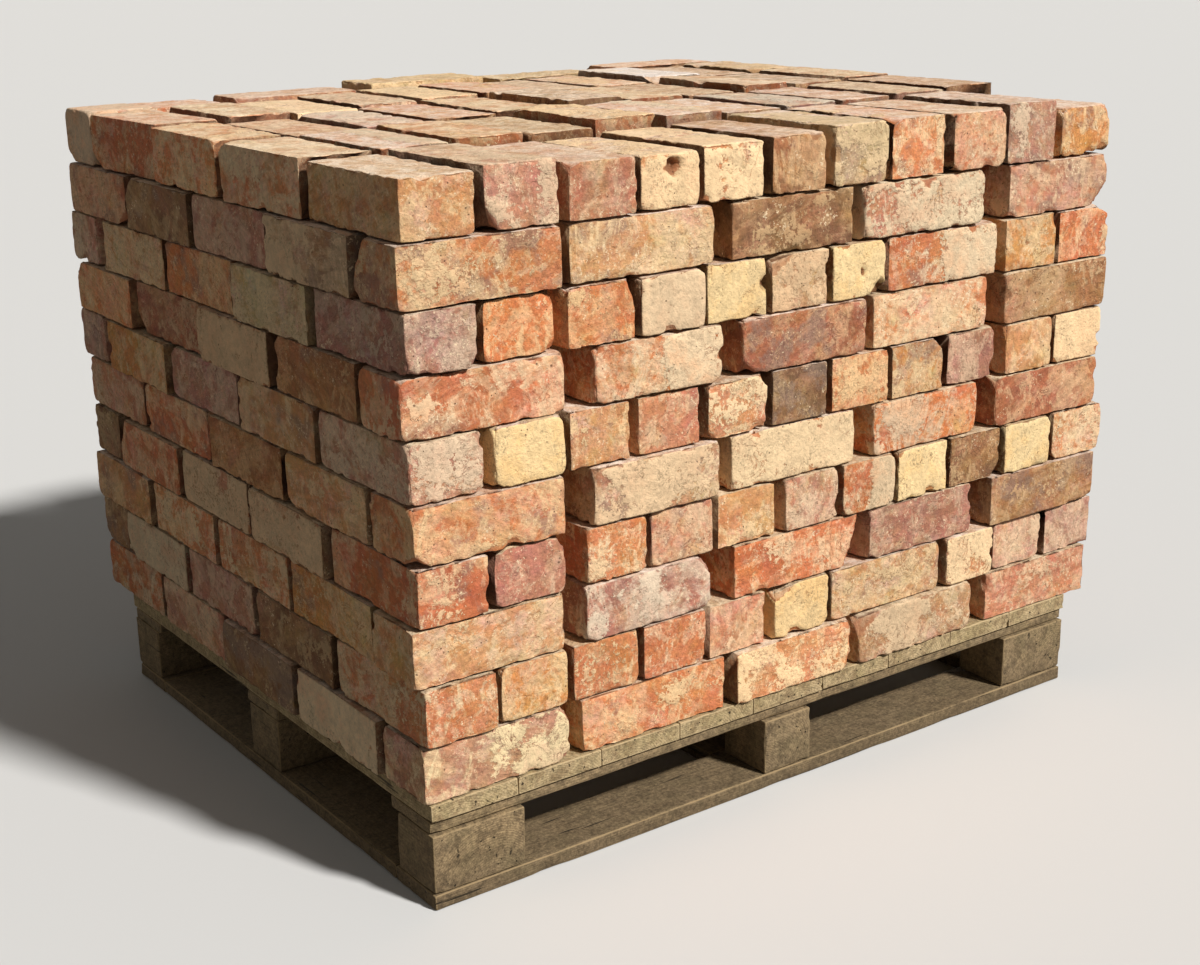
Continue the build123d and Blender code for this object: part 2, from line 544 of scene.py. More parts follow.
def read_brick(triangles: np.ndarray) -> Brick:
    """Find the place, turn and size of a brick from its solid.

    Args:
        triangles: the solid's triangles.

    Returns:
        The brick, with its length along its longer side.
    """
    normals = np.cross(triangles[:, 1] - triangles[:, 0], triangles[:, 2] - triangles[:, 0])
    areas = np.linalg.norm(normals, axis=1)
    upright = np.abs(normals[:, 2]) < 0.01 * areas
    widest = normals[upright][np.argmax(areas[upright])]
    across = widest[:2] / np.linalg.norm(widest[:2])
    along = np.array([across[1], -across[0]])
    if along[np.argmax(np.abs(along))] < 0:
        along = -along
    axes = (along, np.array([-along[1], along[0]]))
    points = triangles.reshape(-1, 3)
    lows = [(points[:, :2] @ axis).min() for axis in axes]
    highs = [(points[:, :2] @ axis).max() for axis in axes]
    plan = sum((low + high) / 2 * axis for low, high, axis in zip(lows, highs, axes))
    base, top = points[:, 2].min(), points[:, 2].max()
    size = np.array([highs[0] - lows[0], highs[1] - lows[1], top - base])
    return Brick(np.array([*plan, base]), along, size)


@dataclass
class BrickStack:
    """The ten courses of bricks, each brick shaped and stained on its own.

    Attributes:
        courses: how many courses stand on the pallet.
        spacing: the distance between mesh lines on an open face.
        top_spacing: the same on the top course, which has most open faces.
        edge_lines: the mesh lines behind an arris, which take its rounding.
        depth_lines: the mesh lines on a covered face, behind an open one.
        probe: how far in front of a face something must stand to cover it.
        front_step: how far the bricks of the front row stand back at most.
        templates: the blocks that are cut so far.
    """

    courses: int = 10
    spacing: float = 5.1 * MM
    top_spacing: float = 5.9 * MM
    edge_lines: tuple[float, ...] = (1.3 * MM, 3.2 * MM, 7.0 * MM)
    depth_lines: tuple[float, ...] = (1.3 * MM, 3.2 * MM, 7.0 * MM, 15.0 * MM, 34.0 * MM)
    probe: float = 9.0 * MM
    front_step: float = 30.0 * MM
    templates: dict[tuple, bpy.types.Mesh] = field(default_factory=dict)

    def build(self) -> list[bpy.types.Object]:
        """Build every course.

        Returns:
            The course pieces, from the pallet up.
        """
        clay = FiredClay().build()
        covered = CoveredClay().build()
        pieces = []
        for course in range(1, self.courses + 1):
            node = f"course_{course:02d}"
            bricks = [read_brick(solid) for solid in islands(node)]
            hidden = []
            if f"{node}_inner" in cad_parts:
                hidden = [read_brick(solid) for solid in islands(f"{node}_inner")]
                dress(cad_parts[f"{node}_inner"], covered)
            self.find_open_sides(bricks, bricks + hidden, course == self.courses)
            self.name_kinds(bricks, course)
            piece = self.build_course(f"bricks_{course:02d}", bricks, course)
            hand_over(piece, node, clay)
            LOG.info("course %d: %d bricks, %d faces", course, len(bricks), len(piece.data.polygons))
            pieces.append(piece)
        return pieces

    def find_open_sides(self, bricks: list[Brick], all_bricks: list[Brick], is_top: bool) -> None:
        """Note which faces of each brick no other brick covers.

        Args:
            bricks: the bricks to look at.
            all_bricks: every brick of their course.
            is_top: whether no course lies on this one.
        """
        for brick in bricks:
            for side in (Side.START, Side.END, Side.LEFT, Side.RIGHT):
                axis, way = side.value
                covered = 0
                for share in (-0.3, 0.0, 0.3):
                    local = np.array([0.0, 0.0, brick.size[2] / 2])
                    local[axis] = way * (brick.size[axis] / 2 + self.probe)
                    local[1 - axis] = share * brick.size[1 - axis]
                    point = brick.to_world(local[None])[0]
                    covered += any(other.holds(point) for other in all_bricks if other is not brick)
                if covered < 2:
                    brick.open_sides.add(side)
            if is_top:
                brick.open_sides.add(Side.TOP)

    def name_kinds(self, bricks: list[Brick], course: int) -> None:
        """Give each brick its look: by name along the front, and drawn elsewhere.

        Args:
            bricks: the bricks of the course that show.
            course: the course's number.
        """
        draw = np.random.default_rng(100 + course)
        for brick in bricks:
            brick.kind = ClayKind[str(draw.choice(OTHER_CLAYS.split()))]
        foremost = min(brick.front for brick in bricks)
        row = [brick for brick in bricks if brick.front < foremost + self.front_step]
        row.sort(key=lambda brick: brick.middle[0])
        for brick, name in zip(row, FRONT_CLAYS[course].split()):
            brick.kind = ClayKind[name]
        if course == self.courses:
            white = min(bricks, key=lambda brick: np.linalg.norm(brick.middle[:2] - WHITE_TOP))
            white.kind = ClayKind.WHITEWASHED
        for hole in FRONT_HOLES:
            if hole.course == course:
                row[hole.place].holes.append(hole)

    def build_course(self, name: str, bricks: list[Brick], course: int) -> bpy.types.Object:
        """Shape the bricks of one course and join them.

        Args:
            name: the name of the piece.
            bricks: the bricks that show.
            course: the course's number, which seeds its wear.

        Returns:
            The piece, with the bricks' colours and wear as attributes.
        """
        joined = bmesh.new()
        places, traits = [], []
        for number, brick in enumerate(bricks):
            lines = [self.mesh_lines(brick, axis) for axis in range(3)]
            template = self.template(brick, [len(line) - 1 for line in lines])
            joined.from_mesh(template)
            worn = WornBrick(brick, course * 100 + number, on_lines(template, lines))
            places.append(brick.to_world(worn.shape()))
            traits.append(worn.stain())
        merged = {key: np.concatenate([trait[key] for trait in traits]) for key in traits[0]}
        return make_piece(as_mesh(name, joined), np.concatenate(places), merged)

    def mesh_lines(self, brick: Brick, axis: int) -> np.ndarray:
        """Place the mesh lines along one of a brick's axes, close together behind its arrises.

        Args:
            brick: the brick.
            axis: the number of its axis.

        Returns:
            The lines' places on that axis, in the brick's own coordinates.
        """
        size = brick.size[axis]
        if any(side.value[0] != axis for side in brick.open_sides):
            spacing = self.top_spacing if Side.TOP in brick.open_sides else self.spacing
            lines = graded_lines(size, self.edge_lines, spacing, 1)
        else:
            ways = {side.value[1] for side in brick.open_sides if side.value[0] == axis}
            start, end = (self.depth_lines if way in ways else self.edge_lines[1:2] for way in (-1, 1))
            lines = np.array([0.0, *start, *(size - line for line in reversed(end)), size])
        return lines - (0.0 if axis == 2 else size / 2)

    def template(self, brick: Brick, counts: list[int]) -> bpy.types.Mesh:
        """Cut a brick's block, with its covered faces plain.

        Args:
            brick: the brick that it is for.
            counts: the number of steps along each axis.

        Returns:
            The block, made once for each set of counts and covered faces.
        """
        fine = [any(side.value[0] != axis for side in brick.open_sides) for axis in range(3)]
        plain = [side for side in Side if side not in brick.open_sides
                 and all(fine[axis] for axis in range(3) if axis != side.value[0])]
        key = (*counts, *(side.name for side in plain))
        if key in self.templates:
            return self.templates[key]
        block = gridded_block(counts)
        for side in plain:
            axis, way = side.value
            level = counts[axis] if way > 0 else 0
            faces = [f for f in block.faces if all(abs(v.co[axis] - level) < 0.01 for v in f.verts)]
            bmesh.ops.dissolve_faces(block, faces=faces, use_verts=False)
            loose = [v for v in block.verts if not v.link_faces]
            bmesh.ops.delete(block, geom=loose, context="VERTS")
        if Side.TOP in plain:
            self.frame_top(block, counts)
        self.templates[key] = as_mesh("block", block)
        return self.templates[key]

    def frame_top(self, block: bmesh.types.BMesh, counts: list[int]) -> None:
        """Frame a covered top with a margin, which shows where the brick above stands back.

        Args:
            block: the block, with its top in one face.
            counts: the number of steps along each axis.
        """
        margin = len(self.edge_lines)
        top = [f for f in block.faces if all(v.co.z > counts[2] - 0.5 for v in f.verts)]
        bmesh.ops.inset_region(block, faces=top, thickness=1.0)
        inner = list(top[0].verts)
        for vertex in inner:
            for axis in range(2):
                vertex.co[axis] = min(max(vertex.co[axis], margin), counts[axis] - margin)
        bmesh.ops.remove_doubles(block, verts=inner, dist=0.01)


@dataclass
class WornBrick:
    """One brick, worn down from its block and crusted with mortar.

    Attributes:
        brick: its place, size and look.
        seed: picks its own pattern of wear.
        local: the block's points, in the brick's own coordinates.
        inset: how far a clean face stands inside the frame's brick, to leave room for mortar.
        bed_gap: how far the top stands below the frame's brick.
        arris_radius: the smallest and largest usual radius of the arrises.
        radius_limits: the smallest and largest radius that unevenness may give an arris.
        corner_rounding: how much rounder the corners of a much-handled brick are.
        corner_zone: how far from its ends a brick counts as a corner.
        bow: how far a face is hollow at most.
        taper: how much of its width the brick loses towards one bed at most.
        crumbled: how far the arrises have crumbled away at most.
        crumble_zone: how far from an arris crumbling reaches.
        chips: the usual number of chips on the arrises.
        chip_reach: the smallest and largest reach of a chip.
        break_depths: how deep a corner is broken off at least, and at most for the first and the others.
        facet_turns: the ways that the broken sides of a hole face, in radians.
        roughness: the height of the bumps that hands and sand left, and their size.
        mortar: the thickness of a full crust of mortar.
        crust_ragged: how ragged the edge of mortar on half a brick is.
        tone_ragged: how ragged the edge between a brick's two tones is.
        joint_dirt: painted shade: how much darker the clay is painted inside a joint, where shade falls.
    """

    brick: Brick
    seed: int
    local: np.ndarray
    inset: float = 1.8 * MM
    bed_gap: float = 0.5 * MM
    arris_radius: tuple[float, float] = (1.1 * MM, 3.2 * MM)
    radius_limits: tuple[float, float] = (1.0 * MM, 14 * MM)
    corner_rounding: float = 3.0
    corner_zone: float = 16 * MM
    bow: float = 1.4 * MM
    taper: float = 0.006
    crumbled: float = 3.6 * MM
    crumble_zone: float = 8 * MM
    chips: float = 4.0
    chip_reach: tuple[float, float] = (5.0 * MM, 14.0 * MM)
    break_depths: tuple[float, float, float] = (5, 22, 15)
    facet_turns: tuple[float, float, float] = (0.3, 1.25, 2.5)
    roughness: tuple[tuple[float, float], ...] = ((1.3 * MM, 42 * MM), (0.8 * MM, 11 * MM))
    mortar: float = 1.7 * MM
    crust_ragged: float = 34 * MM
    tone_ragged: float = 60 * MM
    joint_dirt: float = 0.5

    def __post_init__(self) -> None:
        """Start the brick's own random numbers and patterns."""
        self.draw = np.random.default_rng(self.seed)
        self.pattern = self.local + self.draw.uniform(0, 40, 3)
        self.half = self.brick.size / 2
        self.middle = np.array([0, 0, self.half[2]])
        self.wear = np.zeros(len(self.local))
        self.shadow = np.zeros(len(self.local))

    def noise(self, size: float, salt: int, octaves: int) -> np.ndarray:
        """Read smooth noise over the brick.

        Args:
            size: the size of its largest lumps, in mm.
            salt: tells one noise of the brick from another.
            octaves: how many finer layers it has.

        Returns:
            The value at each point.
        """
        return lattice_noise(self.pattern, size * MM, self.seed + salt, octaves)

    def shape(self) -> np.ndarray:
        """Wear the block down to its real surface and lay the mortar on it.

        Returns:
            The worn points, in the brick's own coordinates.
        """
        self.round_arrises()
        self.crumble_arrises()
        self.chip_arrises()
        self.break_corners()
        self.open_holes()
        for height, size in self.roughness:
            self.points -= self.outward * (height * lattice_noise(self.pattern, size, self.seed, 2))[:, None]
        self.joints = self.find_joints()
        self.crust = self.find_mortar()
        lift = self.mortar * np.clip(self.crust, 0, 1) * (0.55 + 0.45 * self.noise(7, 5, 2))
        self.points += self.outward * lift[:, None]
        return np.clip(self.points - self.middle, -self.half, self.half) + self.middle

    def stain(self) -> dict[str, np.ndarray]:
        """Say what the clay's finish reads at each point.

        Returns:
            The attributes: colours with painted shade in the joints and holes, pattern places, traits of the
                brick, marks and tones.
        """
        clay = self.brick.kind.value
        count = len(self.points)
        tint = self.draw.uniform(0.9, 1.04)
        # Each brick's tint is warmed: partly its own random tone, partly a painted warm cast that stands in
        # for warm sunlight.
        warmth = self.draw.uniform(0.05, 0.17)
        shade = np.array([tint * (1 + 0.3 * warmth), tint * (1 - 0.4 * warmth), tint * (1 - warmth), 1.0])
        # Painted shade: the colours are darkened on faces that other bricks cover and inside the holes,
        # where shade falls.
        clean = (1 - self.joint_dirt * self.joints) * (1 - 0.6 * self.shadow)
        painted_shade = np.column_stack([clean, clean, clean, np.ones(count)])
        slant = self.draw.uniform(-0.5, 0.5)
        turn = np.array(Matrix.Rotation(slant, 3, "Y")) * self.draw.uniform(0.8, 1.3)
        traits = [clay.lime, self.draw.uniform(0.3, 1.0), self.draw.uniform(0, 1)]
        arris = ramp(1 - np.abs(self.outward).max(axis=1), 0.03, 0.25)
        return {
            "clay_place": self.pattern @ turn,
            "clay_traits": np.tile(traits, (count, 1)),
            "clay_marks": np.column_stack([self.crust, self.wear, arris]),
            "clay_split": self.find_split() * (1 - self.joints),
            **{f"clay_{part}": np.array(linear(getattr(clay, part))) * shade * painted_shade
               for part in ("body", "mottle", "scorch", "crust")},
        }

    def round_arrises(self) -> None:
        """Round the arrises, more in some places than in others, and bow and taper the brick."""
        usual = self.draw.uniform(*self.arris_radius)
        uneven = self.noise(30, 1, 3) - 0.5
        radius = np.clip(usual * (1 + 1.6 * uneven), *self.radius_limits)[:, None]
        near_ends = ramp(self.half - np.abs(self.local - self.middle), self.corner_zone, 0.0)
        handled = self.draw.uniform(0.0, 1.0) ** 1.6 * self.corner_rounding
        radius *= 1 + handled * np.prod(near_ends, axis=1, keepdims=True)
        clean = self.half - [self.inset, self.inset, self.bed_gap / 2]
        rounded, self.outward = round_box((self.local - self.middle) * (clean / self.half), clean, radius)
        bow = self.draw.uniform(0, self.bow, 3)
        share = rounded / clean
        for axis in range(2):
            rounded[:, axis] -= bow[axis] * share[:, axis] * (1 - share[:, 1 - axis] ** 2)
        taper = self.draw.uniform(-self.taper, self.taper, 2)
        rounded[:, :2] *= 1 - np.abs(taper) + taper * share[:, 2:3]
        self.points = rounded + [0, 0, self.half[2] - self.bed_gap / 2]

    def crumble_arrises(self) -> None:
        """Let the arrises crumble unevenly, as old ones do."""
        from_faces = np.sort(self.half - np.abs(self.points - self.middle), axis=1)
        at_arris = ramp(from_faces[:, 1], self.crumble_zone, 1 * MM)
        loose = ramp(self.noise(15, 8, 3), 0.46, 0.74) * at_arris
        depth = self.crumbled * self.draw.uniform(0.5, 1.0)
        self.points = self.points - self.outward * (depth * loose)[:, None]
        self.wear = np.maximum(self.wear, 0.8 * loose)

    def chip_arrises(self) -> None:
        """Scoop small chips out of the arrises."""
        jitter = 0.55 + 0.9 * self.noise(11, 2, 2)
        for _ in range(self.draw.poisson(self.chips)):
            axis = self.draw.integers(3)
            signs = self.draw.choice([-1.0, 1.0], 3)
            centre = signs * self.half
            centre[axis] = self.draw.uniform(-self.half[axis], self.half[axis])
            reach = self.draw.uniform(*self.chip_reach)
            depth = reach * self.draw.uniform(0.25, 0.5)
            inward = -signs
            inward[axis] = 0
            inward /= np.linalg.norm(inward)
            distance = np.linalg.norm(self.points - centre - self.middle, axis=1) * jitter
            bite = np.clip(1 - (distance / reach) ** 2, 0, 1)
            self.points = self.points + inward * (depth * bite**0.7)[:, None]
            self.wear = np.maximum(self.wear, np.minimum(1, bite * 2))

    def break_corners(self) -> None:
        """Break corners and arrises off along rough planes."""
        rough = (self.noise(10, 3, 2) - 0.5) * 5 * MM
        least, first, other = self.break_depths
        for number in range(self.draw.integers(0, 4)):
            signs = self.draw.choice([-1.0, 1.0], 3)
            normal = signs * self.draw.uniform(0.35, 1.0, 3)
            normal /= np.linalg.norm(normal)
            depth = self.draw.uniform(least, other if number else first) * MM
            level = float(normal @ (signs * self.half)) - depth
            over = (self.points - self.middle) @ normal - level - rough
            self.points = self.points - normal * np.clip(over, 0, None)[:, None]
            self.wear = np.maximum(self.wear, ramp(over, -0.5 * MM, 1.5 * MM))

    def open_holes(self) -> None:
        """Sink the angular holes in the front of the brick, and note where painted shadow darkens them."""
        length, width, height = self.brick.size
        jitter = 0.75 + 0.5 * self.noise(9, 9, 2)
        facets = np.array([np.cos(self.facet_turns), np.sin(self.facet_turns)])
        for hole in self.brick.holes:
            centre = np.array([(0.5 - hole.across) * width, hole.up * height])
            distance = np.abs((self.local[:, 1:] - centre) @ facets).max(axis=1) * jitter
            behind = ramp(self.local[:, 0] + length / 2, 16 * MM, 4 * MM)
            bite = ramp(1 - distance / hole.reach, 0.0, 0.35) * behind
            self.points = self.points + np.outer(0.8 * hole.reach * bite, [1, 0, 0])
            self.wear = np.maximum(self.wear, bite)
            # Painted shadow: stain darkens the clay inside the hole.
            self.shadow = np.maximum(self.shadow, bite)

    def find_joints(self) -> np.ndarray:
        """Say which points lie on a face that another brick covers.

        Returns:
            For each point 1 on such a face, and 0 just past its arrises.
        """
        covered = np.zeros(len(self.local))
        for side in set(Side) - self.brick.open_sides:
            axis, way = side.value
            depth = self.half[axis] - way * (self.local[:, axis] - self.middle[axis])
            covered = np.maximum(covered, ramp(depth, 1.2 * MM, 0.0))
        return covered

    def find_mortar(self) -> np.ndarray:
        """Say where old mortar still sticks.

        Returns:
            The mortar's strength: under 0 where bare, over 1 where it is thick.
        """
        clay = self.brick.kind.value
        cover = clay.cover * self.draw.uniform(0.7, 1.3)
        crust = (0.5 + (cover - 0.5) * 0.62 - self.noise(48, 4, 4)) / 0.07
        if clay.half:
            to_right = self.local[:, 0] if abs(self.brick.along[0]) > 0.5 else -self.local[:, 1]
            edge = self.draw.uniform(-0.12, 0.12) * np.ptp(to_right)
            ragged = (self.noise(20, 6, 3) - 0.5) * self.crust_ragged
            crust = np.minimum(crust, (clay.half * (to_right - edge) - ragged) / (5 * MM))
        return np.clip(crust - 7 * np.maximum(self.wear, self.joints), -4, 4)

    def find_split(self) -> np.ndarray:
        """Say which of its two tones each point has: old walls leave one end of a brick paler.

        Returns:
            For each point a value from -1 on the plain end to 1 on the pale one.
        """
        way = self.draw.normal(size=3) * [2.0, 1.0, 0.5]
        way /= np.linalg.norm(way)
        edge = self.draw.uniform(-0.25, 0.25) * float(np.abs(way) @ self.brick.size)
        ragged = (self.noise(26, 7, 3) - 0.5) * self.tone_ragged
        across = (self.local - self.middle) @ way
        return self.draw.uniform(0.2, 1.0) * np.clip((across - edge - ragged) / (6 * MM), -1, 1)


@dataclass(frozen=True)
class FiredClay:
    """Hand-moulded, kiln-fired clay with lime mortar on it: matt, mottled, pitted and dusty on top.

    Attributes:
        noises: for each pattern the size of its lumps in mm, its detail, its roughness and its distortion.
        soot: the colour of kiln soot.
        grit: the colour of lime grit.
        sand: the colour of the darker sand in the mortar.
        pit: the colour inside pits and of grime on the arrises.
        dust: the colours of the dust on top: pale and deep, on greener bricks and on pinker ones.
        roughness: how matt the clay is.
        specular: how much light it mirrors.
        relief: the height of the bumps.
    """

    noises: tuple[tuple[str, float, float, float, float], ...] = (
        ("patches", 34.0, 6.0, 0.72, 0.5),
        ("soot", 60.0, 6.0, 0.7, 0.0),
        ("scum", 75.0, 7.0, 0.7, 0.8),
        ("wash", 30.0, 6.0, 0.78, 0.4),
        ("crumbs", 9.0, 4.0, 0.72, 0.0),
        ("grain", 7.5, 4.0, 0.8, 0.0),
        ("specks", 4.0, 2.0, 0.6, 0.0),
        ("folds", 42.0, 5.0, 0.6, 1.4),
    )
    soot: str = "857466"
    grit: str = "f6dcb4"
    sand: str = "957f62"
    pit: str = "76503a"
    dust: tuple[str, str, str, str] = ("f8dfba", "dcbb92", "ffe6d0", "ecc4a2")
    roughness: float = 0.9
    specular: float = 0.25
    relief: float = 2.4 * MM

    def build(self) -> bpy.types.Material:
        """Build the material.

        Returns:
            The material, which reads each brick's colours and wear from attributes.
        """
        material = bpy.data.materials.new("fired_clay_hand_moulded")
        coat = Shading(material)
        steps = (self.read_fields, self.fire, self.spread_lime, self.grain_clay, self.wear_arrises,
                 self.lay_mortar, self.open_pits, self.settle_dust, self.raise_relief)
        for step in steps:
            step(coat)
        coat.finish(self.roughness, self.specular, coat.fields["normal"])
        return material

    def read_fields(self, coat: Shading) -> None:
        """Read what the bricks carry and make the noises that the layers share.

        Args:
            coat: the material in the making.
        """
        fields = coat.fields
        for name in ("body", "mottle", "scorch", "crust"):
            fields[name] = coat.add("Attribute", None, "Color", attribute_name=f"clay_{name}")
        place = coat.add("Attribute", None, "Vector", attribute_name="clay_place")
        fields["place"] = place
        fields["split"] = coat.add("Attribute", None, "Fac", attribute_name="clay_split")
        for name, parts in (("clay_traits", ("lime", "share", "own")),
                            ("clay_marks", ("mortar", "wear", "arris"))):
            vector = coat.add("Attribute", None, "Vector", attribute_name=name)
            fields.update(zip(parts, coat.add("SeparateXYZ", {0: vector}).node.outputs))
        for name, size, detail, rough, distortion in self.noises:
            fields[name] = coat.add("TexNoise", {"Vector": place, "Scale": 1000 / size, "Detail": detail,
                                                 "Roughness": rough, "Distortion": distortion})
        fields["hues"] = fields["soot"].node.outputs[1]
        # Clouds of the fire are drawn out where the clay was thrown into its mould
        thrown = coat.add("Mapping", {0: place, 2: (0.0, 0.5, 0.35), 3: (0.55, 1.0, 1.3)})
        fields["clouds"] = coat.add("TexNoise", {"Vector": thrown, "Scale": 1000 / 90, "Detail": 7.0,
                                                 "Roughness": 0.66, "Distortion": 1.0})

    def fire(self, coat: Shading) -> None:
        """Mottle the clay with paler folds, redder kiln marks, drifting hues, and soot on some bricks.

        Args:
            coat: the material in the making.
        """
        fields = coat.fields
        coat.colour = fields["body"]
        folded = coat.add("Math", {0: fields["split"], 1: 0.07, 2: fields["patches"]},
                          operation="MULTIPLY_ADD")
        coat.lay(fields["mottle"], folded, 0.465, 0.535)
        coat.lay(fields["scorch"], fields["clouds"], 0.48, 0.61, 0.75)
        drift = coat.add("VectorMath", {0: fields["hues"], 1: (0.55, 0.7, 0.9), 2: (0.735, 0.65, 0.54)},
                         operation="MULTIPLY_ADD")
        coat.lay(drift, 1.0, blend="MULTIPLY")
        start = coat.add("MapRange", {0: fields["own"], 1: 0.4, 2: 1.0, 3: 0.62, 4: 0.47})
        sooted = coat.add("Math", {0: fields["soot"], 1: start}, operation="SUBTRACT")
        coat.lay(self.soot, sooted, 0.0, 0.08, 0.6)

    def spread_lime(self, coat: Shading) -> None:
        """Spread thin lime over the clay: scum of dried salts, a wash worn thin by rubbing, trowel smears
        and pale rims.

        Args:
            coat: the material in the making.
        """
        fields = coat.fields
        for name, start, end, lean, width in (("scum", 0.57, 0.51, 0.05, 0.03),
                                              ("wash", 0.63, 0.5, 0.04, 0.035)):
            level = coat.add("MapRange", {0: fields["lime"], 1: 0.0, 2: 1.0, 3: start, 4: end})
            leaning = coat.add("Math", {0: fields["split"], 1: lean, 2: fields[name]},
                               operation="MULTIPLY_ADD")
            over = coat.add("Math", {0: leaning, 1: level}, operation="SUBTRACT")
            coat.lay(fields["crust"], over, 0.0, width, 0.42)
        drawn = coat.add("VectorMath", {0: fields["place"], 1: (70.0, 70.0, 13.0)}, operation="MULTIPLY")
        smears = coat.add("TexNoise", {"Vector": drawn, "Scale": 1.0, "Detail": 4.0, "Roughness": 0.7,
                                       "Distortion": 0.3})
        smears = coat.add("MapRange", {0: smears, 1: 0.5, 2: 0.56, 3: 0.0, 4: 0.7})
        room = coat.add("MapRange", {0: fields["scum"], 1: 0.52, 2: 0.56})
        coat.lay(fields["crust"], coat.add("Math", {0: smears, 1: room}, operation="MULTIPLY"))
        rim = coat.add("Math", {0: fields["patches"], 1: 0.53, 2: 0.01}, operation="COMPARE")
        room = coat.add("MapRange", {0: fields["wash"], 1: 0.44, 2: 0.54, 3: 0.0, 4: 0.6})
        coat.lay(fields["crust"], coat.add("Math", {0: rim, 1: room}, operation="MULTIPLY"))

    def grain_clay(self, coat: Shading) -> None:
        """Add strike marks along the brick, grain of sand and grog, lime grit and darker flecks.

        Args:
            coat: the material in the making, whose fields get the shade of the grain.
        """
        fields = coat.fields
        struck = coat.add("VectorMath", {0: fields["place"], 1: (22.0, 190.0, 190.0)}, operation="MULTIPLY")
        streaks = coat.add("TexNoise", {"Vector": struck, "Scale": 1.0, "Detail": 3.0, "Roughness": 0.65,
                                        "Distortion": 0.6})
        shade = coat.add("MapRange", {0: streaks, 1: 0.34, 2: 0.66, 3: 0.88, 4: 1.1})
        grain = coat.add("MapRange", {0: fields["grain"], 1: 0.36, 2: 0.64, 3: 0.82, 4: 1.14})
        flecks = coat.add("MapRange", {0: fields["crumbs"], 1: 0.36, 2: 0.43, 3: 0.82, 4: 1.0})
        fields["shade"] = coat.add("Math", {0: grain, 1: flecks}, operation="MULTIPLY")
        shade = coat.add("Math", {0: shade, 1: fields["shade"]}, operation="MULTIPLY")
        coat.lay(shade, 1.0, blend="MULTIPLY")
        level = coat.add("MapRange", {0: fields["lime"], 1: 0.0, 2: 1.0, 3: 1.28, 4: 1.1})
        total = coat.add("Math", {0: fields["specks"], 1: fields["wash"]}, operation="ADD")
        over = coat.add("Math", {0: total, 1: level}, operation="SUBTRACT")
        coat.lay(self.grit, over, 0.0, 0.03, 0.75)

    def wear_arrises(self, coat: Shading) -> None:
        """Rub some arrises pale with lime and a painted highlight where light catches them, leave grime in
        others, and show fresh clay where they broke.

        Args:
            coat: the material in the making.
        """
        fields = coat.fields
        # Painted highlight: some arrises are laid pale, partly rubbed lime and partly light catching them.
        rubbed_and_highlit = coat.add("Math", {0: fields["arris"], 1: fields["wash"]}, operation="MULTIPLY")
        coat.lay(fields["crust"], rubbed_and_highlit, 0.34, 0.56, 0.65)
        broken = coat.add("Math", {0: fields["crumbs"], 1: 1.2, 2: fields["wear"]}, operation="MULTIPLY_ADD")
        coat.lay(fields["scorch"], broken, 0.98, 1.12, 0.7)
        low = coat.add("MapRange", {0: fields["crumbs"], 1: 0.52, 2: 0.44})
        dirty = coat.add("Math", {0: fields["arris"], 1: low}, operation="MULTIPLY")
        coat.lay(self.pit, dirty, 0.15, 0.6, 0.6)

    def lay_mortar(self, coat: Shading) -> None:
        """Lay old mortar on the clay, stained and sandy, its edge broken up by finer noise.

        Args:
            coat: the material in the making, whose fields get the mortar's mask.
        """
        fields = coat.fields
        clay = coat.colour
        coat.colour = fields["crust"]
        coat.lay(fields["mottle"], fields["soot"], 0.47, 0.6, 0.55)
        sandy = coat.add("MapRange", {0: fields["specks"], 1: 0.46, 2: 0.38, 3: 0.0, 4: 0.55})
        patchy = coat.add("MapRange", {0: fields["scum"], 1: 0.5, 2: 0.58})
        coat.lay(self.sand, coat.add("Math", {0: sandy, 1: patchy}, operation="MULTIPLY"))
        uneven = coat.add("MapRange", {0: fields["wash"], 1: 0.36, 2: 0.58, 3: 0.82, 4: 1.08})
        soft = coat.add("Math", {0: fields["shade"], 1: 0.65, 2: 0.35}, operation="MULTIPLY_ADD")
        coat.lay(coat.add("Math", {0: uneven, 1: soft}, operation="MULTIPLY"), 1.0, blend="MULTIPLY")
        mortar = coat.colour
        coat.colour = clay
        crumble = coat.add("MapRange", {0: fields["crumbs"], 1: 0.3, 2: 0.7, 3: -2.2, 4: 2.2})
        total = coat.add("Math", {0: fields["mortar"], 1: crumble}, operation="ADD")
        fields["mask"] = coat.lay(mortar, total, 0.0, 0.4, 0.95)

    def open_pits(self, coat: Shading) -> None:
        """Cut drying cracks and pits of burnt grit into the surface.

        Args:
            coat: the material in the making, whose fields get the masks of the cracks and pits.
        """
        fields = coat.fields
        fold = coat.add("Math", {0: fields["folds"], 1: 0.5, 2: 0.008}, operation="COMPARE")
        room = coat.add("MapRange", {0: fields["clouds"], 1: 0.4, 2: 0.48, 3: 0.75, 4: 0.0})
        fields["crack"] = coat.add("Math", {0: fold, 1: room}, operation="MULTIPLY")
        coat.lay(fields["scorch"], fields["crack"])
        cells = coat.add("TexVoronoi", {"Vector": fields["place"], "Scale": 1000 / 9, "Randomness": 1.0},
                         feature="F1")
        room = coat.add("MapRange", {0: fields["patches"], 1: 0.44, 2: 0.7, 3: 0.0, 4: 0.24})
        pits = coat.add("Math", {0: room, 1: cells}, operation="SUBTRACT")
        fields["pits"] = coat.lay(self.pit, pits, 0.0, 0.05, 0.7)

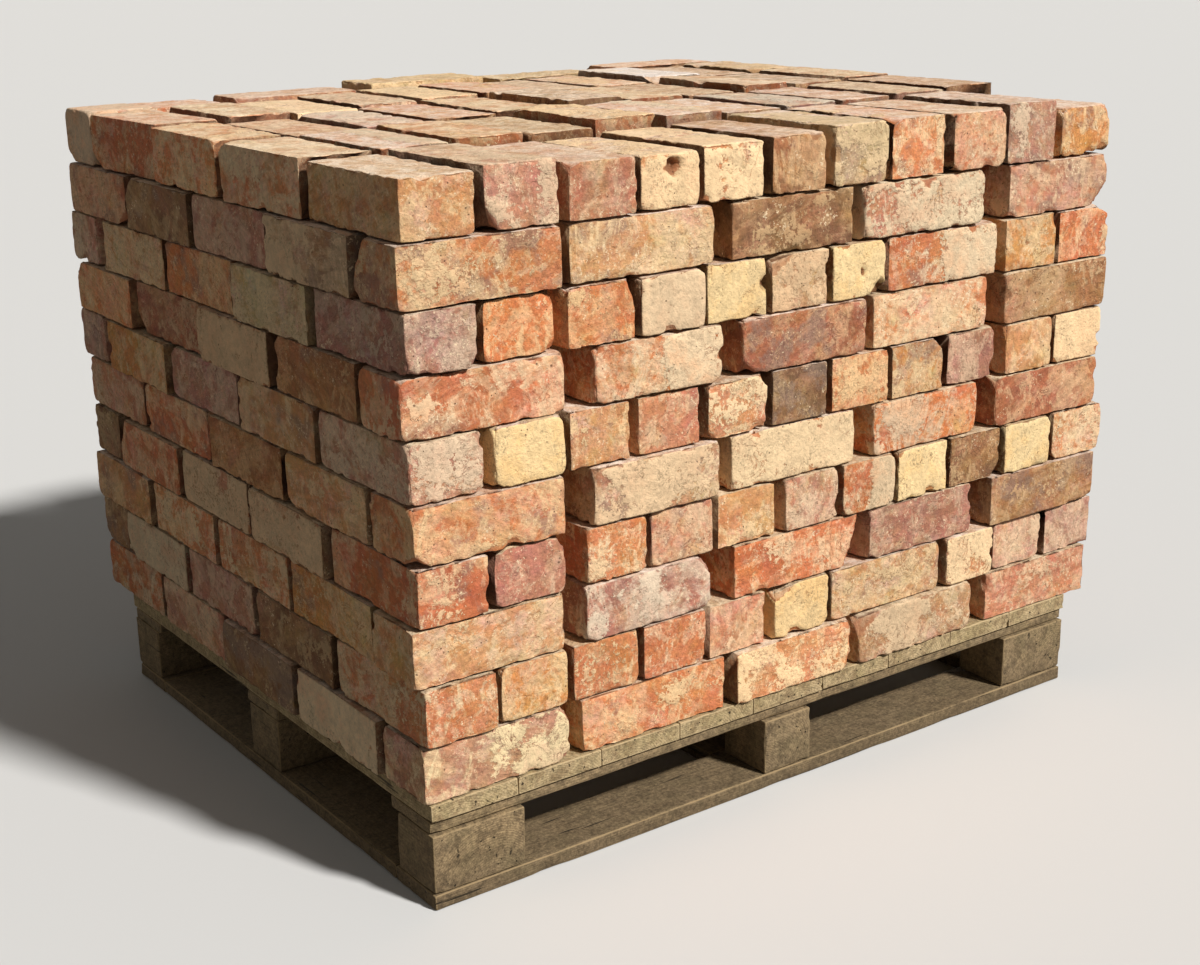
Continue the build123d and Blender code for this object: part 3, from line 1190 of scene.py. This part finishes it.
    def settle_dust(self, coat: Shading) -> None:
        """Settle dust on what looks up, greener on some bricks, pinker on others, and thin on mortar.

        Args:
            coat: the material in the making.
        """
        fields = coat.fields
        upward = coat.add("SeparateXYZ", {0: coat.add("NewGeometry", None, "Normal")}, 2)
        settled = coat.add("MapRange", {0: upward, 1: 0.55, 2: 0.95})
        drift = coat.add("MapRange", {0: fields["wash"], 1: 0.4, 2: 0.52, 3: 0.45, 4: 1.0})
        limed = coat.add("MapRange", {0: fields["mask"], 3: 1.0, 4: 0.3})
        share = coat.add("MapRange", {0: fields["share"], 1: 0.3, 2: 1.0, 3: 0.62, 4: 1.0})
        for part in (drift, settled, limed):
            share = coat.add("Math", {0: share, 1: part}, operation="MULTIPLY")
        surface = coat.colour
        tones = [linear(code) for code in self.dust]
        hue = coat.add("MapRange", {0: fields["own"], 1: 0.35, 2: 0.75})
        pale = coat.add("Mix", {0: hue, 6: tones[0], 7: tones[2]}, 2, data_type="RGBA")
        coat.colour = coat.add("Mix", {0: hue, 6: tones[1], 7: tones[3]}, 2, data_type="RGBA")
        coat.lay(pale, fields["patches"], 0.42, 0.55)
        coat.lay(fields["shade"], 1.0, blend="MULTIPLY")
        dust = coat.colour
        coat.colour = surface
        coat.lay(dust, share)

    def raise_relief(self, coat: Shading) -> None:
        """Raise the grain and the mortar, and sink the pits and cracks.

        Args:
            coat: the material in the making, whose fields get the bumped normal.
        """
        fields = coat.fields
        height = coat.add("Math", {0: fields["grain"], 1: 0.5, 2: fields["crumbs"]},
                          operation="MULTIPLY_ADD")
        for name, rise in (("pits", -1.2), ("mask", 0.14), ("crack", -0.6)):
            height = coat.add("Math", {0: fields[name], 1: rise, 2: height}, operation="MULTIPLY_ADD")
        fields["normal"] = coat.add("Bump", {"Strength": 1.0, "Distance": self.relief, "Height": height})


@dataclass(frozen=True)
class CoveredClay:
    """Fired clay of the bricks that are covered all round: the same body, plain and a little dusty."""

    body: str = "8d5e44"
    dust: str = "a58264"

    def build(self) -> bpy.types.Material:
        """Build the material.

        Returns:
            The material.
        """
        material = bpy.data.materials.new("fired_clay_covered")
        coat = Shading(material)
        coat.colour = linear(self.body)
        place = coat.add("TexCoord", None, "Object")
        patches = coat.add("TexNoise", {"Vector": place, "Scale": 1000 / 40, "Detail": 6.0,
                                        "Roughness": 0.65})
        coat.lay(self.dust, patches, 0.4, 0.62)
        relief = coat.add("Bump", {"Strength": 0.8, "Distance": 1.5 * MM, "Height": patches})
        coat.finish(0.92, 0.2, relief)
        return material


# The pallet


@dataclass(frozen=True)
class WeatheredSoftwood:
    """Sawn pine left outdoors: greyed, green with algae, with dark growth rings, checks and end grain.

    Attributes:
        name: the material's name.
        pale: the colour of the early wood and of the worn arrises, which also carry a painted highlight.
        dark: the colour of the late wood in the growth rings.
        grey: the colour of sun-bleached wood.
        green: the colour of algae.
        damp: the colour of wood that the ground keeps damp.
        grime: the colour of grime worked into the wood.
        grimy: how well the grime covers.
        noises: for each pattern the size of its lumps in mm, its detail and its roughness.
        ring_spacing: the distance between growth rings, in mm.
        damp_height: how far up the damp is drawn.
        check: the colour inside the drying checks.
        roughness: how matt the wood is.
        specular: how much light it mirrors.
    """

    name: str = "weathered_softwood_sawn"
    pale: str = "c9b086"
    dark: str = "987c55"
    grey: str = "b39c75"
    green: str = "968659"
    damp: str = "6e5b3d"
    grime: str = "765a3e"
    grimy: float = 0.5
    noises: tuple[tuple[str, float, float, float], ...] = (
        ("weather", 70.0, 6.0, 0.65),
        ("growth", 45.0, 7.0, 0.7),
        ("blots", 22.0, 6.0, 0.85),
        ("grit", 5.0, 3.0, 0.85),
    )
    ring_spacing: float = 3.4
    damp_height: float = 0.04
    check: str = "2e2619"
    roughness: float = 0.86
    specular: float = 0.25

    def build(self) -> bpy.types.Material:
        """Build the material.

        Returns:
            The material, which reads the grain's way from the board's own attribute.
        """
        material = bpy.data.materials.new(self.name)
        coat = Shading(material)
        for step in (self.grow, self.weather, self.wear, self.raise_relief):
            step(coat)
        coat.finish(self.roughness, self.specular, coat.fields["normal"])
        return material

    def grow(self, coat: Shading) -> None:
        """Draw the growth rings round the pith, and the fibres along the grain.

        Args:
            coat: the material in the making.
        """
        fields = coat.fields
        fields["place"] = place = coat.add("Attribute", None, "Vector", attribute_name="wood_place")
        drawn_out = coat.add("VectorMath", {0: place, 1: (3.0, 22.0, 22.0)}, operation="MULTIPLY")
        waver = coat.add("TexNoise", {"Vector": drawn_out, "Scale": 1.0, "Detail": 3.0})
        section = coat.add("VectorMath", {0: place, 1: (0.0, 1.0, 1.0)}, operation="MULTIPLY")
        radius = coat.add("VectorMath", {0: section}, "Value", operation="LENGTH")
        radius = coat.add("Math", {0: waver, 1: 14 * MM, 2: radius}, operation="MULTIPLY_ADD")
        phase = coat.add("Math", {0: radius, 1: tau * 1000 / self.ring_spacing}, operation="MULTIPLY")
        coat.colour = linear(self.pale)
        fields["rings"] = coat.lay(self.dark, coat.add("Math", {0: phase}, operation="SINE"), -0.3, 1.0, 0.5)
        streaked = coat.add("VectorMath", {0: place, 1: (18.0, 420.0, 420.0)}, operation="MULTIPLY")
        fields["fibre"] = coat.add("TexNoise", {"Vector": streaked, "Scale": 1.0, "Detail": 4.0,
                                                "Roughness": 0.65})
        shade = coat.add("MapRange", {0: fields["fibre"], 1: 0.3, 2: 0.7, 3: 0.72, 4: 1.2})
        coat.lay(shade, 1.0, blend="MULTIPLY")

    def weather(self, coat: Shading) -> None:
        """Bleach the wood, grow algae on it, rub grime into it, draw damp up it and strew grit on it.

        Args:
            coat: the material in the making.
        """
        fields = coat.fields
        world = coat.add("TexCoord", None, "Object")
        for name, size, detail, rough in self.noises:
            fields[name] = coat.add("TexNoise", {"Vector": world, "Scale": 1000 / size, "Detail": detail,
                                                 "Roughness": rough})
        coat.lay(self.grey, fields["weather"], 0.38, 0.62, 0.85, 0.15)
        coat.lay(self.green, fields["growth"], 0.42, 0.66, 0.6)
        coat.lay(self.grime, fields["blots"], 0.47, 0.58, self.grimy)
        height = coat.add("SeparateXYZ", {0: world}, 2)
        ragged = coat.add("Math", {0: fields["weather"], 1: 0.07, 2: height}, operation="MULTIPLY_ADD")
        coat.lay(self.damp, ragged, self.damp_height, self.damp_height + 0.06, 0.0, 0.6)
        shade = coat.add("MapRange", {0: fields["grit"], 1: 0.36, 2: 0.64, 3: 0.62, 4: 1.32})
        coat.lay(shade, 1.0, blend="MULTIPLY")

    def wear(self, coat: Shading) -> None:
        """Rub the arrises pale, partly real wear and partly a painted highlight, and open drying checks
        along the grain.

        Args:
            coat: the material in the making, whose fields get the mask of the checks.
        """
        fields = coat.fields
        arris = coat.add("Attribute", None, "Fac", attribute_name="wood_arris")
        # Painted highlight: the arrises are laid pale, partly real wear and partly light catching them.
        rubbed_and_highlit = coat.add("Math", {0: arris, 1: fields["weather"]}, operation="MULTIPLY")
        coat.lay(self.pale, rubbed_and_highlit, 0.3, 0.5, 0.85)
        cracked = coat.add("VectorMath", {0: fields["place"], 1: (7.0, 130.0, 130.0)}, operation="MULTIPLY")
        checks = coat.add("TexNoise", {"Vector": cracked, "Scale": 1.0, "Detail": 2.0})
        fields["checks"] = coat.lay(self.check, checks, 0.27, 0.32, 0.0, 0.9)

    def raise_relief(self, coat: Shading) -> None:
        """Raise the fibres and the grit, and sink the rings and checks.

        Args:
            coat: the material in the making, whose fields get the bumped normal.
        """
        height = coat.fields["fibre"]
        for name, rise in (("rings", -0.4), ("checks", -2.5), ("grit", 0.8)):
            height = coat.add("Math", {0: coat.fields[name], 1: rise, 2: height}, operation="MULTIPLY_ADD")
        coat.fields["normal"] = coat.add("Bump", {"Strength": 0.8, "Distance": 1.0 * MM, "Height": height})


@dataclass
class BlockPallet:
    """The boards and blocks of the pallet, each sawn, worn and checked on its own.

    Attributes:
        spacing: the distance between mesh lines along a board.
        cross_spacing: the distance between mesh lines across it.
        edge_lines: the mesh lines behind an edge.
        inset: how far a sawn face stands inside the frame's board.
        swelling: how far damp has swollen each deck board towards the next.
        deck_wear: how far a deck board's arrises are eased, how much further worn, and its saw marks.
        base_wear: the same on the stringers, blocks and base boards.
        splinters: how deep the splintered places are.
    """

    spacing: float = 14.0 * MM
    cross_spacing: float = 9.0 * MM
    edge_lines: tuple[float, ...] = (1.0 * MM, 3.0 * MM, 6.0 * MM)
    inset: float = 0.4 * MM
    swelling: float = 1.7 * MM
    deck_wear: tuple[float, float, float] = (0.5 * MM, 1.2 * MM, 0.4 * MM)
    base_wear: tuple[float, float, float] = (2.4 * MM, 3.5 * MM, 1.1 * MM)
    splinters: float = 2.5 * MM

    def build(self) -> list[bpy.types.Object]:
        """Build every board and block.

        Returns:
            The pieces.
        """
        deck = WeatheredSoftwood().build()
        # The stringers, blocks and base boards get a darker copy of the softwood: partly damp, partly
        # painted shade under the deck.
        base = WeatheredSoftwood("damp_and_shaded_softwood_sawn", "a48b66", "755d42", "8c775a", "7d6e4e", "5f4f3a",
                                 "4a3b2a", 0.55).build()
        pieces = []
        nodes = [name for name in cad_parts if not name.startswith("course")]
        for number, node in enumerate(sorted(nodes)):
            piece = self.build_timber(node, 500 + number, number)
            hand_over(piece, node, deck if node.startswith("deck") else base)
            pieces.append(piece)
        return pieces

    def build_timber(self, node: str, draw_seed: int, seed: int) -> bpy.types.Object:
        """Saw and weather one board or block in the place of its node.

        Args:
            node: the frame node that it stands for.
            draw_seed: seeds its random numbers.
            seed: picks its own noise.

        Returns:
            The piece.
        """
        low, high = (np.array(corner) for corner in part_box(node))
        is_deck = node.startswith("deck")
        if is_deck:
            low, high = self.swell(low, high)
        size = high - low
        half = size / 2
        draw = np.random.default_rng(draw_seed)
        grain = 1 if node.startswith("block") else int(np.argmax(size))
        lines = [self.mesh_lines(size[axis], axis == grain) for axis in range(3)]
        mesh = as_mesh(f"sawn_{node}", gridded_block([len(line) - 1 for line in lines]))
        local = on_lines(mesh, lines)
        stretched = (local + draw.uniform(0, 40, 3)) * np.where(np.arange(3) == grain, 0.25, 1.0)
        points = self.wear_timber(local - half, half, stretched, seed,
                                  self.deck_wear if is_deck else self.base_wear)
        pith = np.array([draw.uniform(0, 2), draw.uniform(-0.5, 0.5) * 0.1, draw.uniform(0.03, 0.09)])
        order = [grain, *(axis for axis in range(3) if axis != grain)]
        # How near each point is to an arris; the finish lays worn arrises and a painted highlight there.
        at_arris = ramp(np.sort(half - np.abs(local - half), axis=1)[:, 1], 5 * MM, 0.5 * MM)
        traits = {
            "wood_place": (local - half)[:, order] + pith,
            "wood_arris": at_arris,
        }
        return make_piece(mesh, points + low + half, traits)

    def wear_timber(self, centred: np.ndarray, half: np.ndarray, stretched: np.ndarray, seed: int,
                    wear: tuple[float, float, float]) -> np.ndarray:
        """Ease and splinter a timber's arrises, and leave saw marks on its faces.

        Args:
            centred: the timber's points, from its middle.
            half: half its size.
            stretched: the points that the noise is read at, drawn out along the grain.
            seed: picks its own noise.
            wear: how far the arrises are eased, how much further they are worn, and the saw marks.

        Returns:
            The worn points.
        """
        ease, worn, saw = wear
        radius = (ease + worn * ramp(lattice_noise(stretched, 18 * MM, seed, 2), 0.5, 0.8))[:, None]
        inner = half - self.inset
        centred = centred * (inner / half)
        points, outward = round_box(centred, inner, radius)
        points -= outward * (saw * lattice_noise(stretched, 30 * MM, seed + 7, 3))[:, None]
        splinter = ramp(lattice_noise(stretched, 12 * MM, seed + 9, 2), 0.62, 0.85)
        at_edge = ramp(np.sort(np.abs(centred) / inner, axis=1)[:, 1], 0.9, 1.0)
        return points - outward * (self.splinters * splinter * at_edge)[:, None]

    def swell(self, low: np.ndarray, high: np.ndarray) -> tuple[np.ndarray, np.ndarray]:
        """Widen a deck board towards its neighbours, but not past the ends of the deck.

        Args:
            low: the board's lowest corner.
            high: its highest corner.

        Returns:
            Both corners of the swollen board.
        """
        boxes = [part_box(name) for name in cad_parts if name.startswith("deck")]
        start, end = min(box[0][0] for box in boxes), max(box[1][0] for box in boxes)
        low = low - [self.swelling * (low[0] > start + MM), 0, 0]
        high = high + [self.swelling * (high[0] < end - MM), 0, 0]
        return low, high

    def mesh_lines(self, size: float, is_grain: bool) -> np.ndarray:
        """Place the mesh lines along one side of a timber, further apart along its grain."""
        edge = [line for line in self.edge_lines if line < size / 3]
        return graded_lines(size, edge, self.spacing if is_grain else self.cross_spacing, 2)


# The studio


@dataclass(frozen=True)
class Studio:
    """A pale floor, a wide key light from the front right, a soft fill and the photograph's camera.

    Attributes:
        floor_colour: the floor's colour as the camera sees it.
        floor_bounce: its colour as it lights the object.
        floor_size: the length of its sides.
        eye: where the camera stands.
        azimuth: how far it is turned to the right of the way to the back, in degrees.
        elevation: how far it looks down, in degrees.
        roll: how far it leans, in degrees.
        lens: its focal length, in mm.
        lens_shift: how far its picture is shifted up, as a share of its width.
        key_place: the way to the key light.
        key_width: the width of that light, in degrees.
        key_strength: its strength.
        fill_strength: the strength of the soft light from all round.
        fill_colour: its colour.
        backdrop: the colour of the world behind the floor, as the camera sees it.
    """

    floor_colour: str = "dcdad6"
    floor_bounce: str = "6a6763"
    floor_size: float = 120.0
    eye: tuple[float, float, float] = (-1.5405, -2.1635, 1.154)
    azimuth: float = 35.8
    elevation: float = 16.9
    roll: float = -1.0
    lens: float = 53.4
    lens_shift: float = -0.01
    key_place: tuple[float, float, float] = (0.28, -0.86, 0.8)
    key_width: float = 6.0
    key_strength: float = 4.2
    fill_strength: float = 0.13
    fill_colour: str = "f2f0ec"
    backdrop: str = "e6e4e0"

    def build(self) -> None:
        """Place the floor, the lamp, the world and the camera."""
        self.build_floor()
        self.build_key()
        self.build_world()
        self.build_camera()

    @staticmethod
    def seen_directly(shading: Shading) -> Socket:
        """Tell what the camera, a gloss or a pane shows from what only lights the object.

        Args:
            shading: the nodes that ask.

        Returns:
            A socket that is 1 for a background that is seen and 0 for light.
        """
        rays = shading.add("LightPath").node.outputs
        seen = shading.add("Math", {0: rays["Is Camera Ray"], 1: rays["Is Glossy Ray"]}, operation="MAXIMUM")
        return shading.add("Math", {0: seen, 1: rays["Is Transmission Ray"]}, operation="MAXIMUM")

    def build_floor(self) -> None:
        """Lay the floor that takes the object's shadow."""
        sheet = bmesh.new()
        bmesh.ops.create_grid(sheet, x_segments=1, y_segments=1, size=self.floor_size / 2)
        floor = add_object("floor", as_mesh("floor", sheet))
        material = bpy.data.materials.new("matt_floor_paint")
        paint = Shading(material)
        paint.colour = linear(self.floor_bounce)
        paint.lay(self.floor_colour, self.seen_directly(paint))
        paint.finish(0.9)
        dress(floor, material)

    def build_key(self) -> None:
        """Hang the key light, far off and wide, so that it lights the whole floor alike."""
        light = bpy.data.lights.new("key", "SUN")
        light.energy = self.key_strength
        light.angle = radians(self.key_width)
        lamp = add_object("key", light)
        lamp.rotation_euler = Vector(self.key_place).to_track_quat("Z", "Y").to_euler()

    def build_world(self) -> None:
        """Set a soft grey world that the camera sees as pale."""
        world = bpy.data.worlds.new("studio")
        sky = Shading(world)
        light = sky.add("Background", {0: linear(self.fill_colour), 1: self.fill_strength})
        backdrop = sky.add("Background", {0: linear(self.backdrop), 1: 1.0})
        both = sky.add("MixShader", {0: self.seen_directly(sky), 1: light, 2: backdrop})
        sky.add("OutputWorld", {0: both})
        bpy.context.scene.world = world

    def build_camera(self) -> None:
        """Stand the camera where the photograph was taken from."""
        data = bpy.data.cameras.new("camera")
        data.lens = self.lens
        data.shift_y = self.lens_shift
        data.clip_end = 200.0
        camera = add_object("camera", data)
        turn = Matrix.Rotation(-radians(self.azimuth), 4, "Z")
        tilt = Matrix.Rotation(pi / 2 - radians(self.elevation), 4, "X")
        lean = Matrix.Rotation(radians(self.roll), 4, "Z")
        camera.matrix_world = Matrix.Translation(self.eye) @ turn @ tilt @ lean
        bpy.context.scene.camera = camera


def main() -> None:
    """Build the bricks, the pallet and the studio."""
    logging.basicConfig(level=logging.INFO, format="%(message)s")
    bpy.context.scene.view_settings.view_transform = "Standard"
    courses = BrickStack().build()
    timbers = BlockPallet().build()
    Studio().build()
    LOG.info("%d courses on a pallet of %d boards and blocks", len(courses), len(timbers))


if __name__ == "__main__":
    main()
